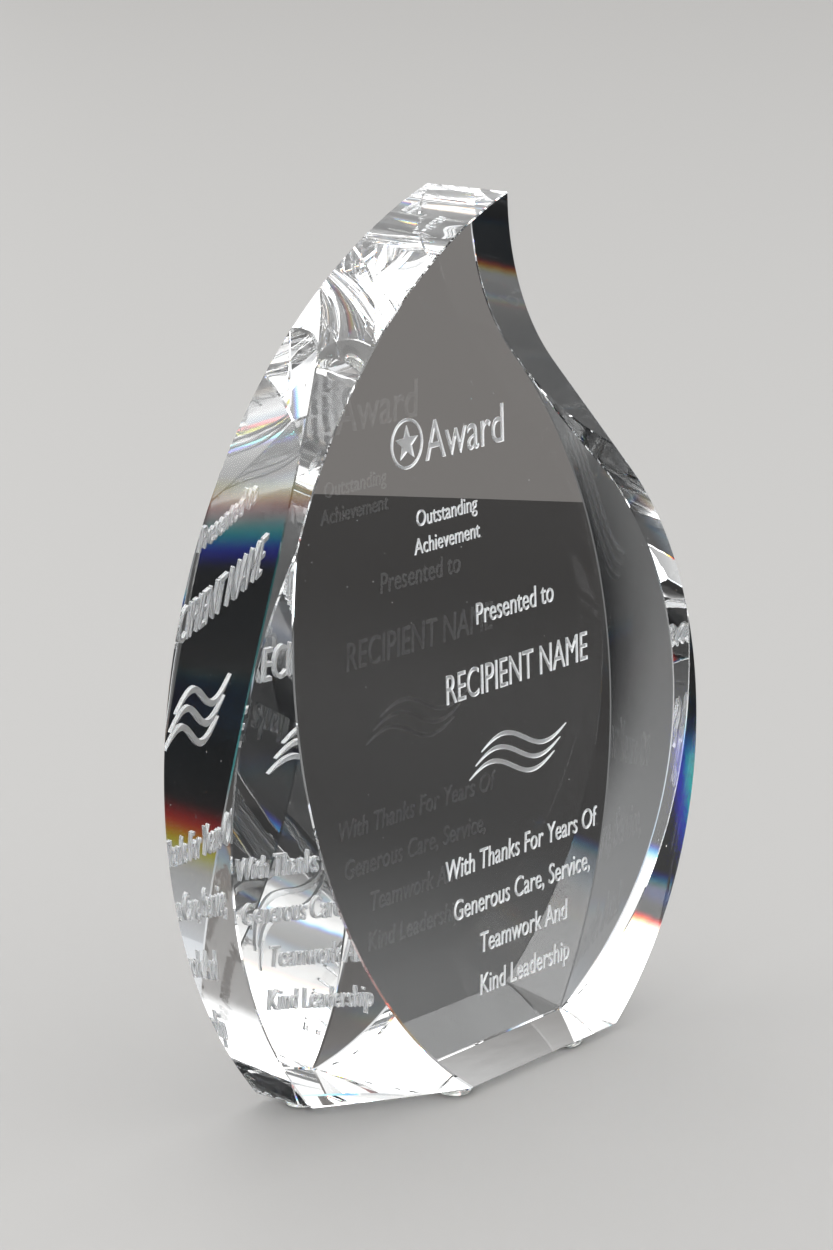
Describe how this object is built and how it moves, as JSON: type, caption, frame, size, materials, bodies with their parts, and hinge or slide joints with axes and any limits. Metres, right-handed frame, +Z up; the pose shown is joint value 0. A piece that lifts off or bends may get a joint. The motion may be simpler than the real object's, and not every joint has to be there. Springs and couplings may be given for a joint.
{
  "type": "crystal flame award",
  "caption": "Flame-shaped wedge of clear optical crystal with two crescent bevels, standing on small clear bumper feet.",
  "frame": {"origin": "middle of the footprint, on the surface the award stands on", "axes": "+Z up, +X to the viewer's right, -Y out of the engraved front face"},
  "size_m": [0.1474, 0.034, 0.19],
  "materials": {
    "optical_crystal": "polished, with frosted engraving on the front face",
    "clear_bumper": "clear moulded polyurethane, slightly satin",
    "clear_adhesive": "clear adhesive film"
  },
  "bodies": {
    "root": {"crystal_body": "optical_crystal", "foot_front_left": "clear_bumper", "foot_front_right": "clear_bumper", "foot_rear_left": "clear_bumper", "foot_rear_right": "clear_bumper", "adhesive_front_left": "clear_adhesive", "adhesive_front_right": "clear_adhesive", "adhesive_rear_left": "clear_adhesive", "adhesive_rear_right": "clear_adhesive"}
  },
  "joints": []
}
